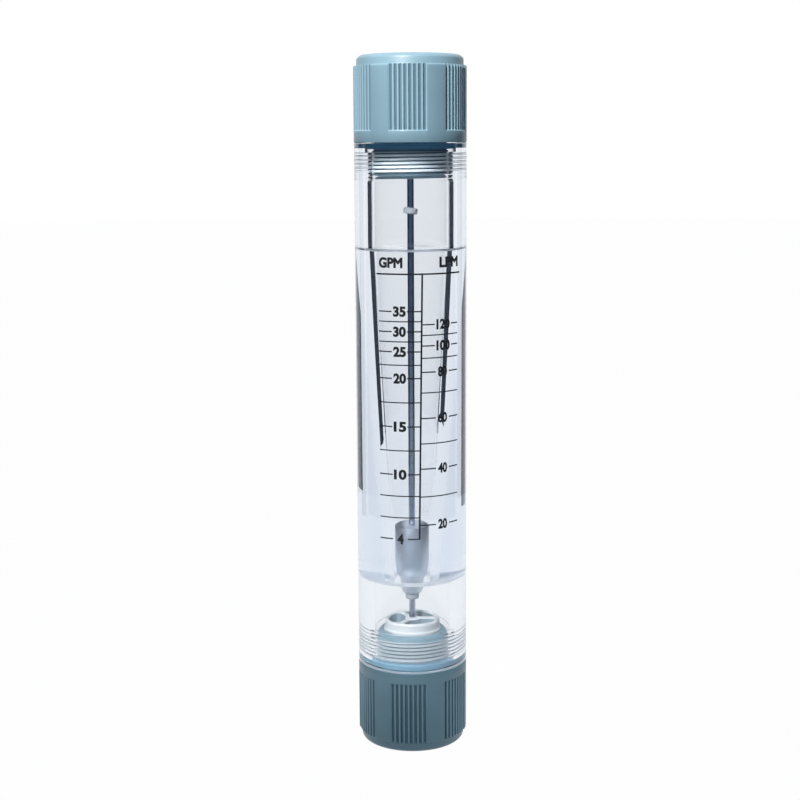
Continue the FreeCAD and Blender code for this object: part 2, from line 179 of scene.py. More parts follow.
tube_rows = rings(columns, outside) + upper_threads[::-1] + rings(columns, bore) + lower_threads[::-1]
tube_rows.append(ring(columns, mouth_radius, tube_foot + mouth_depth))
tube = skin("acrylic_tube", tube_rows)


def new_material(name):
    """A node material, its shader and its node tree."""
    material = bpy.data.materials.new(name)
    material.use_nodes = True
    shader = material.node_tree.nodes["Principled BSDF"]
    return material, shader, material.node_tree


def feed(tree, value, socket):
    """Gives a socket what another socket puts out, or a plain value."""
    if isinstance(value, bpy.types.NodeSocket):
        tree.links.new(value, socket)
    else:
        socket.default_value = value


def worked_out(tree, operation, *values):
    """The output of one Math node, fed by sockets or plain numbers."""
    node = tree.nodes.new("ShaderNodeMath")
    node.operation = operation
    for socket, value in zip(node.inputs, values):
        feed(tree, value, socket)
    return node.outputs[0]


def placed_coordinates(tree, scale):
    """Object coordinates stretched by a scale, from which patterns are read."""
    where = tree.nodes.new("ShaderNodeTexCoord")
    stretch = tree.nodes.new("ShaderNodeMapping")
    stretch.inputs["Scale"].default_value = scale
    tree.links.new(where.outputs["Object"], stretch.inputs["Vector"])
    return stretch.outputs["Vector"]


def noise(tree, where, scale, detail=2.0):
    """A noise pattern's value at some coordinates."""
    node = tree.nodes.new("ShaderNodeTexNoise")
    node.inputs["Scale"].default_value = scale
    node.inputs["Detail"].default_value = detail
    tree.links.new(where, node.inputs["Vector"])
    return node.outputs["Fac"]


def two_tones(tree, value, low, high):
    """A colour between two, read from a value."""
    node = tree.nodes.new("ShaderNodeValToRGB")
    node.color_ramp.elements[0].color = (*low, 1)
    node.color_ramp.elements[1].color = (*high, 1)
    tree.links.new(value, node.inputs["Fac"])
    return node.outputs["Color"]


def bump(tree, height, strength, distance):
    """The normal of a surface that a pattern's height roughens."""
    node = tree.nodes.new("ShaderNodeBump")
    node.inputs["Distance"].default_value = distance
    feed(tree, strength, node.inputs["Strength"])
    tree.links.new(height, node.inputs["Height"])
    return node.outputs["Normal"]


acrylic_index = 1.49
acrylic, shader, tree = new_material("polished_acrylic")
shader.inputs["Base Color"].default_value = (0.975, 0.982, 0.992, 1)
shader.inputs["Transmission Weight"].default_value = 1.0
shader.inputs["IOR"].default_value = acrylic_index
shader.inputs["Roughness"].default_value = 0.0
body_tint = tree.nodes.new("ShaderNodeVolumeAbsorption")
body_tint.inputs["Color"].default_value = (0.74, 0.81, 0.9, 1)
body_tint.inputs["Density"].default_value = 24.0
tree.links.new(body_tint.outputs["Volume"], tree.nodes["Material Output"].inputs["Volume"])
# faint waves that turning and polishing leave, longer round the tube than along it
waves = noise(tree, placed_coordinates(tree, (1.0, 1.0, 2.5)), 60.0, 1.0)
tree.links.new(bump(tree, waves, 0.04, 0.0005), shader.inputs["Normal"])
tube.data.materials.append(acrylic)

# the bore and the outside are polished, and the faces across them keep the matt cut of the tool
for name, clearness in (("cut_acrylic", 0.15), ("reamed_acrylic", 0.7)):
    frosted, shader, tree = new_material(name)
    shader.inputs["Transmission Weight"].default_value = clearness
    shader.inputs["IOR"].default_value = acrylic_index
    cut = noise(tree, placed_coordinates(tree, (900, 900, 900)), 1.0)
    haze = two_tones(tree, cut, (0.92, 0.95, 0.97), (0.98, 0.99, 1.0))
    tree.links.new(haze, shader.inputs["Base Color"])
    tree.links.new(worked_out(tree, "MULTIPLY_ADD", cut, 0.2, 0.4), shader.inputs["Roughness"])
    tube.data.materials.append(frosted)
cut_levels = (tube_foot + seam, taper_foot, tube_head - seam)
same_level, nearly_flat = 0.005, 0.9
for face in tube.data.polygons:
    level = face.center.z / MM
    from_cut = min(abs(level - cut_level) for cut_level in cut_levels)
    if from_cut < same_level and abs(face.normal.z) > nearly_flat:
        face.material_index = 1
    if chamfer_foot < level < chamfer_head:
        face.material_index = 2
tube.visible_shadow = False
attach(tube, "tube")
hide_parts("metering_tube")

# ---- Printed scale ----
# Screen-printed black ink on the outside of the tube: a line up its front, marks for gallons a minute on the
# left and litres a minute on the right, and their numbers. The ink is a few hundredths of a millimetre deep.
ink_gap = 0.012
ink_thickness = 0.03
LITRES = 3.785  # in a gallon
# flow in gallons a minute and the height of the float's top above the tube's foot at that flow
calibration = ((4, 74.7), (10, 109.6), (20, 160.7), (25, 174.7), (35, 195.7))
headline = taper_head - 12.0
headline_width, numbered_width, plain_width = 0.85, 0.68, 0.6
# angles round the tube in degrees: where marks end, and the breaks in them that hold the numbers
headline_ends = (-46.8, 48.5)
left_end, right_end = -44.2, 44.5
gallon_break, gallon_middle = (-29.8, -14.2), -21.8
litre_break, wide_litre_break = (15.5, 31.5), (14.5, 34.5)
number_height, gallon_digit, litre_digit = 5.5, 3.4, 2.85
line_at_head, line_lean = 1.4, 0.026  # degrees, and degrees for each millimetre down


def mark_height(gallons):
    """Height of a mark, read from the calibration."""
    return tube_foot + float(np.interp(gallons, *zip(*calibration)))


def line_angle(height):
    """Where the scale's upright line stands round the tube, in degrees. It was printed a little askew."""
    return line_at_head - (headline - height) * line_lean


# marks: height, angle where each starts and ends, and the line's width
marks = [(headline, *headline_ends, headline_width)]
numbers = []
for gallons in (35, 32.5, 30, 27.5, 25, 22.5, 20, 17.5, 15, 12.5, 10, 8, 6, 4):
    height = mark_height(gallons)
    line = line_angle(height)
    if gallons in (35, 30, 25, 20, 15, 10, 4):
        outer, inner = gallon_break
        marks += [(height, inner, line, numbered_width), (height, left_end, outer, numbered_width)]
        numbers.append((str(gallons), height, gallon_middle, gallon_digit))
    else:
        marks.append((height, left_end, line, plain_width))
for litres in range(20, 121, 10):
    height = mark_height(litres / LITRES)
    line = line_angle(height)
    if litres % 20 == 0:
        inner, outer = wide_litre_break if litres >= 100 else litre_break
        marks += [(height, line, inner, numbered_width), (height, outer, right_end, numbered_width)]
        numbers.append((str(litres), height, (inner + outer) / 2, litre_digit))
    else:
        marks.append((height, line, right_end, plain_width))


def open_sockets(group, inputs, outputs):
    """Gives a node group its sockets, named with their kinds, and returns the nodes at its two ends."""
    for direction, sockets in (("INPUT", inputs), ("OUTPUT", outputs)):
        for label, kind in sockets:
            group.interface.new_socket(label, in_out=direction, socket_type="NodeSocket" + kind)
    return group.nodes.new("NodeGroupInput"), group.nodes.new("NodeGroupOutput")


def scale_mark_tree():
    """Lays a strip along the tube's face at each point, from the angles and width that the point holds."""
    tree = bpy.data.node_groups.new("scale_marks", "GeometryNodeTree")
    given, result = open_sockets(
        tree,
        (
            ("Geometry", "Geometry"),
            ("Print Radius", "Float"),
            ("Ink Thickness", "Float"),
            ("Ink", "Material"),
        ),
        (("Geometry", "Geometry"),),
    )
    nodes, link = tree.nodes, tree.links.new

    def held(name):
        node = nodes.new("GeometryNodeInputNamedAttribute")
        node.data_type = "FLOAT"
        node.inputs["Name"].default_value = name
        return node.outputs["Attribute"]

    def result_of(operation, *values):
        return worked_out(tree, operation, *values)

    strip = nodes.new("GeometryNodeMeshGrid")
    strip.inputs["Size X"].default_value = 1.0
    strip.inputs["Size Y"].default_value = 1.0
    strip.inputs["Vertices X"].default_value = 33
    strip.inputs["Vertices Y"].default_value = 2
    copies = nodes.new("GeometryNodeInstanceOnPoints")
    link(given.outputs["Geometry"], copies.inputs["Points"])
    # each strip is read flat at the origin, so the points stay at zero and hold their place as numbers
    link(strip.outputs["Mesh"], copies.inputs["Instance"])
    real = nodes.new("GeometryNodeRealizeInstances")
    link(copies.outputs["Instances"], real.inputs["Geometry"])
    flat = nodes.new("ShaderNodeSeparateXYZ")
    place = nodes.new("GeometryNodeInputPosition")
    link(place.outputs["Position"], flat.inputs["Vector"])
    share = result_of("ADD", flat.outputs["X"], 0.5)
    span = result_of("SUBTRACT", held("end"), held("start"))
    angle = result_of("ADD", held("start"), result_of("MULTIPLY", share, span))
    height = result_of("ADD", held("height"), result_of("MULTIPLY", flat.outputs["Y"], held("line_width")))
    radius = given.outputs["Print Radius"]
    bent = nodes.new("ShaderNodeCombineXYZ")
    link(result_of("MULTIPLY", result_of("SINE", angle), radius), bent.inputs["X"])
    to_front = result_of("MULTIPLY", radius, -1.0)
    link(result_of("MULTIPLY", result_of("COSINE", angle), to_front), bent.inputs["Y"])
    link(height, bent.inputs["Z"])
    wrapped = nodes.new("GeometryNodeSetPosition")
    link(real.outputs["Geometry"], wrapped.inputs["Geometry"])
    link(bent.outputs["Vector"], wrapped.inputs["Position"])
    raised = nodes.new("GeometryNodeExtrudeMesh")
    raised.mode = "FACES"
    raised.inputs["Individual"].default_value = False
    link(wrapped.outputs["Geometry"], raised.inputs["Mesh"])
    link(given.outputs["Ink Thickness"], raised.inputs["Offset Scale"])
    backs = nodes.new("GeometryNodeFlipFaces")
    link(wrapped.outputs["Geometry"], backs.inputs["Mesh"])
    both = nodes.new("GeometryNodeJoinGeometry")
    link(raised.outputs["Mesh"], both.inputs["Geometry"])
    link(backs.outputs["Mesh"], both.inputs["Geometry"])
    closed = nodes.new("GeometryNodeMergeByDistance")
    closed.inputs["Distance"].default_value = 1e-7
    link(both.outputs["Geometry"], closed.inputs["Geometry"])
    inked = nodes.new("GeometryNodeSetMaterial")
    link(closed.outputs["Geometry"], inked.inputs["Geometry"])
    link(given.outputs["Ink"], inked.inputs["Material"])
    link(inked.outputs["Geometry"], result.inputs["Geometry"])
    return tree


def grown(name, seed_mesh, tree, **sizes):
    """The plain mesh that a node tree makes from a seed mesh, with the tree's named inputs set."""
    seed = in_scene(name + "_seed", seed_mesh)
    modifier = seed.modifiers.new("grow", "NODES")
    modifier.node_group = tree
    sockets = {item.name: item.identifier for item in tree.interface.items_tree if item.in_out == "INPUT"}
    for label, value in sizes.items():
        modifier[sockets[label.replace("_", " ")]] = value
    bpy.context.view_layer.update()
    graph = bpy.context.evaluated_depsgraph_get()
    mesh = bpy.data.meshes.new_from_object(seed.evaluated_get(graph))
    mesh.name = name
    bpy.data.objects.remove(seed)
    return in_scene(name, mesh)


ink, shader, tree = new_material("printing_ink")
speckle = noise(tree, placed_coordinates(tree, (1, 1, 1)), 900.0)
ink_black = two_tones(tree, speckle, (0.004, 0.005, 0.008), (0.012, 0.014, 0.02))
tree.links.new(ink_black, shader.inputs["Base Color"])
shader.inputs["Roughness"].default_value = 0.5

seed_mesh = bpy.data.meshes.new("mark_points")
seed_mesh.from_pydata([(0, 0, 0)] * len(marks), [], [])
for column, label in enumerate(("height", "start", "end", "line_width")):
    held = seed_mesh.attributes.new(label, "FLOAT", "POINT")
    unit = math.radians(1) if label in ("start", "end") else MM
    held.data.foreach_set("value", [mark[column] * unit for mark in marks])
scale_marks = grown(
    "scale_marks",
    seed_mesh,
    scale_mark_tree(),
    Print_Radius=(tube_radius + ink_gap) * MM,
    Ink_Thickness=ink_thickness * MM,
    Ink=ink,
)


def on_the_face(turn, depth, height):
    """A point on the tube's outside, at an angle from its front and a depth within the ink."""
    out = tube_radius + ink_gap + depth
    return Vector((out * math.sin(turn), -out * math.cos(turn), height)) * MM


def printed_text(words, height, angle, tall, wide):
    """Bold letters of solid ink, cut into narrow upright strips so that they follow the tube's face."""
    curve = bpy.data.curves.new("letters", "FONT")
    curve.body = words
    curve.extrude = 0.01
    curve.bevel_depth = 0.05  # thickens the strokes
    curve.bevel_resolution = 0
    lettering = in_scene("letters", curve)
    bpy.context.view_layer.update()
    mesh = bpy.data.meshes.new_from_object(lettering.evaluated_get(bpy.context.evaluated_depsgraph_get()))
    bpy.data.objects.remove(lettering)
    shape = bmesh.new()
    shape.from_mesh(mesh)
    bmesh.ops.remove_doubles(shape, verts=shape.verts, dist=1e-5)
    points = np.array([v.co for v in shape.verts])
    low, high = points.min(axis=0), points.max(axis=0)
    for v, (x, y, z) in zip(shape.verts, (points - low) / (high - low)):
        v.co = ((x - 0.5) * wide, (y - 0.5) * tall, z * ink_thickness)
    strip = 0.6
    for cut in np.arange(-wide / 2 + strip, wide / 2, strip):
        everything = shape.verts[:] + shape.edges[:] + shape.faces[:]
        bmesh.ops.bisect_plane(shape, geom=everything, plane_co=(cut, 0, 0), plane_no=(1, 0, 0), dist=1e-6)
    for v in shape.verts:
        v.co = on_the_face(math.radians(angle) + v.co.x / tube_radius, v.co.z, height + v.co.y)
    bmesh.ops.recalc_face_normals(shape, faces=shape.faces)
    shape.to_mesh(mesh)
    shape.free()
    return mesh


def joined(name, meshes, material):
    """One piece from several meshes."""
    whole = bmesh.new()
    for mesh in meshes:
        whole.from_mesh(mesh)
        bpy.data.meshes.remove(mesh)
    mesh = bpy.data.meshes.new(name)
    whole.to_mesh(mesh)
    whole.free()
    mesh.materials.append(material)
    return in_scene(name, mesh)


upright = bpy.data.meshes.new("upright")
line_half = 0.48
line_foot = mark_height(4) - 0.3
bar = bmesh.new()
bmesh.ops.create_cube(bar, size=1)
for v in bar.verts:
    level = line_foot + (v.co.z + 0.5) * (headline - line_foot)
    turn = math.radians(line_angle(level)) + v.co.x * 2 * line_half / tube_radius
    v.co = on_the_face(turn, (v.co.y + 0.5) * ink_thickness, level)
bmesh.ops.recalc_face_normals(bar, faces=bar.faces)
bar.to_mesh(upright)
bar.free()
lettering = [upright]
for words, height, angle, digit_width in numbers:
    lettering.append(printed_text(words, height, angle, number_height, digit_width * len(words)))
unit_rise, unit_height, unit_width = 5.9, 5.6, 13.2
for words, angle in (("GPM", -31.0), ("LPM", 32.5)):
    lettering.append(printed_text(words, headline + unit_rise, angle, unit_height, unit_width))
scale_print = joined("scale_numbers", lettering, ink)
for printed in (scale_marks, scale_print):
    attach(printed, "tube")

# ---- End fittings ----
# Grey-blue ABS mouldings, the same at both ends: a socket for a pipe, six fluted grip panels, and a threaded
# spigot that screws into the tube. The flutes have soft edges, as a moulding tool leaves them.
overall = cad_box[1].z / MM
fitting_length = tube_foot
ledge_top = fitting_length - 5.7
panel_count, flute_count = 6, 8
panel_depth, flute_depth = 0.5, 1.1
# in degrees round the axis
panel_half, panel_edge = 19.5, 0.35
flute_pitch, flute_floor, flute_edge = 4.95, 0.5, 1.85
spigot_section = (
    (0.0, 0.0), (0.05, 0.0), (0.14, 0.3), (0.26, 0.9), (0.32, 1.0),
    (0.74, 1.0), (0.8, 0.9), (0.92, 0.3), (0.99, 0.0),
)


def grip_columns():
    """Angles round one panel, close together where the flutes turn and wide apart between the panels."""
    beside_flute = (0.0, 0.45, 0.8, 1.05, 1.3, 1.55, 1.8, 2.1)
    beside_edge = (-panel_edge, -0.12, 0.12, panel_edge)
    between_panels = (0.12, 0.3, 0.5, 0.7, 0.88, 1.0)
    sector = [side * panel_half + turn for side in (-1, 1) for turn in beside_edge]
    for flute in range(flute_count):
        middle = flute_pitch * (flute - (flute_count - 1) / 2)
        sector += [middle + side * turn for turn in beside_flute for side in (-1, 1)]
    gap = 180 / panel_count - panel_half
    sector += [panel_half + gap * share for share in between_panels]
    sector += [-panel_half - gap * share for share in between_panels[:-1]]
    return sorted(set(round(turn, 4) for turn in sector))


def smooth_step(low, high, value):
    """Nothing up to the low value, one from the high value, and an even swell between them."""
    share = np.clip((value - low) / (high - low), 0, 1)
    return share * share * (3 - 2 * share)


def end_fitting(name, node, body, flipped, panel_turn):
    """A fitting made of rows round the axis, with its panels turned by an angle in degrees."""
    sector = np.radians(grip_columns())
    panel_step = TURN / panel_count
    turns = np.concatenate([sector + panel_step * i for i in range(panel_count)])
    angles = np.append(turns - turns[0], TURN)
    # angle from the nearest panel's middle, and from the nearest flute's middle
    from_panel = np.degrees((angles + sector[0] + panel_step / 2) % panel_step - panel_step / 2)
    middle_flute = (flute_count - 1) / 2
    nearest = np.clip(np.round(from_panel / flute_pitch + middle_flute), 0, flute_count - 1)
    from_flute = np.abs(from_panel - flute_pitch * (nearest - middle_flute))
    panel = 1 - smooth_step(panel_half - panel_edge, panel_half + panel_edge, np.abs(from_panel))
    flute = 1 - smooth_step(flute_floor, flute_edge, from_flute)
    world = angles + sector[0] + math.radians(panel_turn)

    def level(height):
        return overall - height if flipped else height

    def row(radius, height, panel_share=0.0, flute_share=0.0):
        limit = tube_radius - panel * panel_depth * panel_share - flute * flute_depth * flute_share
        return ring(world, np.minimum(radius, limit), level(height))

    rim, shoulder, shoulder_round = tube_radius - 1.65, 5.6, 0.8
    dome_height, dome_reach = 2.4, 3.4
    dome_radius = (dome_reach**2 + dome_height**2) / (2 * dome_height)
    dome = dome_reach * np.linspace(0, 1, 9)
    rows = [row(rim - dome_reach + out, dome_radius - math.sqrt(dome_radius**2 - out**2)) for out in dome]
    rows += [row(rim, shoulder - 0.25), row(rim + 0.08, shoulder - 0.07), row(rim + 0.25, shoulder)]
    for bend in np.linspace(0, math.pi / 2, 6):
        out = tube_radius - shoulder_round * (1 - math.sin(bend))
        rows.append(row(out, shoulder + shoulder_round * (1 - math.cos(bend)), 1, 1))

    edge = 0.3
    neck, neck_top = tube_radius - 10.5, fitting_length + 4.0
    # radius, height, and how much of the panels' and the flutes' depth is cut there
    grip = (
        (tube_radius, shoulder + 2.2, 1, 1),
        (tube_radius, ledge_top - 1.0, 1, 1),
        (tube_radius, ledge_top - 0.75, 0.9, 1),
        (tube_radius, ledge_top - 0.55, 0.7, 0.6),
        (tube_radius, ledge_top - 0.45, 0.55, 0.15),
        (tube_radius, ledge_top - 0.35, 0.4, 0),
        (tube_radius, ledge_top - 0.1, 0.08, 0),
        (tube_radius, ledge_top + 0.1),
        (tube_radius, fitting_length - edge),
        (tube_radius - 0.3 * edge, fitting_length - 0.3 * edge),
        (tube_radius - edge, fitting_length),
        (neck, fitting_length),
        (neck, neck_top),
    )
    rows += [row(*point) for point in grip]

    spigot_root, spigot_tip = tube_radius - 10.2, tube_radius - 9.2
    spigot_end = fitting_length + 18.0
    thread_stop = spigot_end - 2.0
    low, high = sorted((level(neck_top), level(thread_stop)))
    threads = thread_rows(world, spigot_root, spigot_tip, low, high, thread_pitch, spigot_section)
    rows += threads[::-1] if flipped else threads

    seat, seat_edge, seat_floor = 15.05, 0.15, fitting_length + 9.0
    flow_radius = 13.0
    socket, socket_depth = tube_radius - 7.58, 20.0
    inside = (
        (spigot_root, thread_stop),
        (spigot_root - 0.3, spigot_end - 0.9),
        (spigot_root - 1.1, spigot_end - 0.1),
        (spigot_root - 1.3, spigot_end),
        (seat + seat_edge, spigot_end),
        (seat, spigot_end - seat_edge),
        (seat, seat_floor),
        (flow_radius, seat_floor),
        (flow_radius, socket_depth),
        (socket, socket_depth),
        (socket, 1.5),
        (socket + 1.4, 0.1),
        (socket + 1.6, 0.0),
    )
    rows += [row(*point) for point in inside]
    fitting = skin(name, rows)
    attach(fitting, body)
    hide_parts(node)
    return fitting


def toned(tree, colour, amount):
    """A colour made lighter or darker by an amount."""
    node = tree.nodes.new("ShaderNodeVectorMath")
    node.operation = "SCALE"
    tree.links.new(colour, node.inputs[0])
    tree.links.new(amount, node.inputs["Scale"])
    return node.outputs["Vector"]


def moulding_grain():
    """Shader group for moulded plastic: a drift of tone, and the fine grain that the tool's face leaves."""
    group = bpy.data.node_groups.new("moulding_grain", "ShaderNodeTree")
    given, result = open_sockets(
        group,
        (
            ("Vector", "Vector"),
            ("Colour", "Color"),
            ("Drift", "Float"),
            ("Grain", "Float"),
            ("Gloss", "Float"),
        ),
        (("Colour", "Color"), ("Roughness", "Float"), ("Normal", "Vector")),
    )
    link = group.links.new
    drift_scale, grain_scale, grain_depth = 45.0, 2600.0, 0.00004
    swing = group.nodes.new("ShaderNodeMapRange")
    swing.inputs["From Min"].default_value = 0.3
    swing.inputs["From Max"].default_value = 0.7
    swing.inputs["To Min"].default_value = -1.0
    link(noise(group, given.outputs["Vector"], drift_scale, 3.0), swing.inputs["Value"])
    drift = worked_out(group, "MULTIPLY_ADD", swing.outputs["Result"], given.outputs["Drift"], 1.0)
    link(toned(group, given.outputs["Colour"], drift), result.inputs["Colour"])
    fine = noise(group, given.outputs["Vector"], grain_scale)
    link(worked_out(group, "MULTIPLY_ADD", fine, 0.12, given.outputs["Gloss"]), result.inputs["Roughness"])
    link(bump(group, fine, given.outputs["Grain"], grain_depth), result.inputs["Normal"])
    return group


def finished(name, finish, colour, **amounts):
    """A material whose colour, roughness and relief come from a shader group, at given amounts."""
    material, shader, tree = new_material(name)
    surface = tree.nodes.new("ShaderNodeGroup")
    surface.node_tree = finish
    surface.inputs["Colour"].default_value = (*colour, 1)
    for label, amount in amounts.items():
        surface.inputs[label].default_value = amount
    tree.links.new(placed_coordinates(tree, (1, 1, 1)), surface.inputs["Vector"])
    tree.links.new(surface.outputs["Colour"], shader.inputs["Base Color"])
    tree.links.new(surface.outputs["Roughness"], shader.inputs["Roughness"])
    tree.links.new(surface.outputs["Normal"], shader.inputs["Normal"])
    return material, shader


moulded = moulding_grain()


def moulded_plastic(name, colour, drift, grain, gloss):
    """A moulded plastic, and its shader."""
    return finished(name, moulded, colour, Drift=drift, Grain=grain, Gloss=gloss)


def ramp(tree, value, *stops):
    """A grey value read from stops of (value, brightness), with brightness up to two."""
    first, last = stops[0][0], stops[-1][0]
    spread = tree.nodes.new("ShaderNodeMapRange")
    spread.inputs["From Min"].default_value = first
    spread.inputs["From Max"].default_value = last
    tree.links.new(value, spread.inputs["Value"])
    tone = tree.nodes.new("ShaderNodeValToRGB")
    for at, _ in stops[1:-1]:
        tone.color_ramp.elements.new((at - first) / (last - first))
    for element, (_, brightness) in zip(tone.color_ramp.elements, stops):
        element.color = (brightness / 2, brightness / 2, brightness / 2, 1)
    tree.links.new(spread.outputs["Result"], tone.inputs["Fac"])
    return worked_out(tree, "MULTIPLY", tone.outputs["Color"], 2.0)


def blend(tree, share, low, high):
    """A colour between two, each plain or put out by a socket."""
    node = tree.nodes.new("ShaderNodeMix")
    node.data_type = "RGBA"
    tree.links.new(share, node.inputs["Factor"])
    feed(tree, low, node.inputs[6])
    feed(tree, high, node.inputs[7])
    return node.outputs[2]


grey_abs, shader = moulded_plastic("grey_blue_abs", (0.25, 0.39, 0.465), 0.05, 0.5, 0.32)
tree = grey_abs.node_tree
# painted shade darkens the flutes and a painted highlight lightens their ribs, and on the screw threads a
# painted highlight lightens the crests and painted shade darkens the roots
where = tree.nodes.new("ShaderNodeSeparateXYZ")
tree.links.new(placed_coordinates(tree, (1000, 1000, 1000)), where.inputs["Vector"])
squares = [worked_out(tree, "MULTIPLY", where.outputs[axis], where.outputs[axis]) for axis in ("X", "Y")]
from_axis = worked_out(tree, "SQRT", worked_out(tree, "ADD", *squares))
from_head = worked_out(tree, "SUBTRACT", overall, where.outputs["Z"])
from_end = worked_out(tree, "MINIMUM", where.outputs["Z"], from_head)
# painted shade in the flutes and a painted highlight on the ribs, read from the distance to the axis
flute_shade_and_rib_highlight = ramp(
    tree,
    from_axis,
    (tube_radius - 1.7, 0.55),
    (tube_radius - 1.1, 0.7),
    (tube_radius - 0.62, 1.3),
    (tube_radius - 0.48, 1.3),
    (tube_radius - 0.1, 1.0),
)
on_panels = ramp(tree, from_end, (5.5, 0.0), (6.2, 1.0), (ledge_top, 1.0), (ledge_top + 0.8, 0.0))
painted_panel_light_change = worked_out(tree, "MULTIPLY", on_panels, worked_out(tree, "SUBTRACT", flute_shade_and_rib_highlight, 1.0))
painted_panel_light = worked_out(tree, "ADD", 1.0, painted_panel_light_change)
panel_colour_with_painted_light = toned(tree, shader.inputs["Base Color"].links[0].from_socket, painted_panel_light)
on_thread = ramp(
    tree,
    from_end,
    (fitting_length + 4.4, 0.0),
    (fitting_length + 4.9, 1.0),
    (fitting_length + 15.2, 1.0),
    (fitting_length + 15.7, 0.0),
)
# painted highlight on the thread crests and painted shade in their roots, read from the distance to the axis
thread_highlight_share = ramp(
    tree,
    from_axis,
    (tube_radius - 10.15, 0.0),
    (tube_radius - 9.8, 0.3),
    (tube_radius - 9.35, 0.95),
    (tube_radius - 9.2, 1.0),
)
thread_root_shade, thread_crest_highlight = (0.08, 0.14, 0.2, 1), (0.85, 0.93, 0.98, 1)
painted_thread_light = blend(tree, thread_highlight_share, thread_root_shade, thread_crest_highlight)
tree.links.new(blend(tree, on_thread, panel_colour_with_painted_light, painted_thread_light), shader.inputs["Base Color"])

lower_fitting = end_fitting("lower_fluted_fitting", "lower_end_fitting", "base", False, 15.6)
upper_fitting = end_fitting("upper_fluted_fitting", "upper_end_fitting", "upper_fitting", True, 17.5)
for fitting in (lower_fitting, upper_fitting):
    fitting.data.materials.append(grey_abs)

# ---- Seal rings ----
# Soft silicone rings on the neck of each fitting, pressed to flats between the neck and the tube's mouth.
# Both are one silicone, given two tones: the lower one paler with painted light, the upper one darker with
# painted shade.
seal_with_painted_light, _ = moulded_plastic("seal_silicone_painted_light", (0.36, 0.64, 0.82), 0.05, 0.3, 0.35)
seal_with_painted_shade, _ = moulded_plastic("seal_silicone_painted_shade", (0.13, 0.37, 0.58), 0.05, 0.3, 0.35)
bulge = 0.35
widest = mouth_radius + 0.02  # just into the tube's wall, so that no air shows between them
for node, body, silicone in (
    ("lower_seal_ring", "lower_seal", seal_with_painted_light),
    ("upper_seal_ring", "upper_seal", seal_with_painted_shade),
):
    low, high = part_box(node)
    ring_foot, ring_head, ring_out = low.z / MM, high.z / MM, high.x / MM
    thick = ring_head - ring_foot
    ring_in = ring_out - thick
    middle, centre = (ring_in + ring_out) / 2, (ring_foot + ring_head) / 2
    outline = []
    for bend in np.linspace(0, TURN, 48, endpoint=False):
        across, up = math.cos(bend), math.sin(bend)
        squash = (abs(across) ** 3 + abs(up) ** 3) ** (-1 / 3)
        out = middle + (thick / 2 + bulge) * squash * across
        outline.append((min(out, widest), centre + thick / 2 * squash * up))
    seal = skin(node.replace("_ring", "") + "_squeezed", rings(even_columns(96), outline))
    seal.data.materials.append(silicone)
    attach(seal, body)
    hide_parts(node)

# ---- Rod holders ----
# White acetal spiders that carry the guide rod on the axis. The lower one stands up out of its spigot as a
# crown with three rounded windows. The upper one is flush in its spigot.
white_acetal, _ = moulded_plastic("white_acetal", (0.86, 0.875, 0.89), 0.02, 0.25, 0.28)
# a darker grey-blue copy of the white acetal, for painted shade inside the crown's windows
acetal_with_painted_shade, _ = moulded_plastic("acetal_with_painted_shade", (0.36, 0.47, 0.53), 0.05, 0.25, 0.35)
crown_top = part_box("lower_rod_holder")[1].z / MM
crown_rim, window_reach = 0.9, 13.2


def softened_copy(name, node, grain, passes):
    """A copy of a CAD node as one even skin, with its corners smoothed round as on a moulding."""
    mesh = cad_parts[node].data.copy()
    solid = bmesh.new()
    solid.from_mesh(mesh)
    bmesh.ops.remove_doubles(solid, verts=solid.verts, dist=1e-6)
    solid.to_mesh(mesh)
    solid.free()
    piece = in_scene(name, mesh)
    remesh = piece.modifiers.new("even", "REMESH")
    remesh.mode = "VOXEL"
    remesh.voxel_size = grain * MM
    rub = piece.modifiers.new("rub", "SMOOTH")
    rub.factor = 0.5
    rub.iterations = passes
    bpy.context.view_layer.update()
    result = bpy.data.meshes.new_from_object(piece.evaluated_get(bpy.context.evaluated_depsgraph_get()))
    piece.modifiers.clear()
    piece.data = result
    result.name = name
    result.shade_smooth()
    return piece


holder = softened_copy("rod_holder_crown", "lower_rod_holder", 0.3, 6)
holder.data.materials.clear()
holder.data.materials.append(white_acetal)
holder.data.materials.append(acetal_with_painted_shade)
# painted shade: the walls inside the windows take a darker grey-blue copy of the acetal, as they sit in
# shade
for face in holder.data.polygons:
    place = face.center / MM
    if place.z < crown_top - crown_rim and place.xy.length < window_reach and face.normal.z < 0.75:
        face.material_index = 1
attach(holder, "base")
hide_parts("lower_rod_holder")
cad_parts["upper_rod_holder"].data.materials[0] = white_acetal

# ---- Guide rod and its fastenings ----
# Ground stainless rod, turned down at both ends, with a washer and a nut beyond each holder's hub.


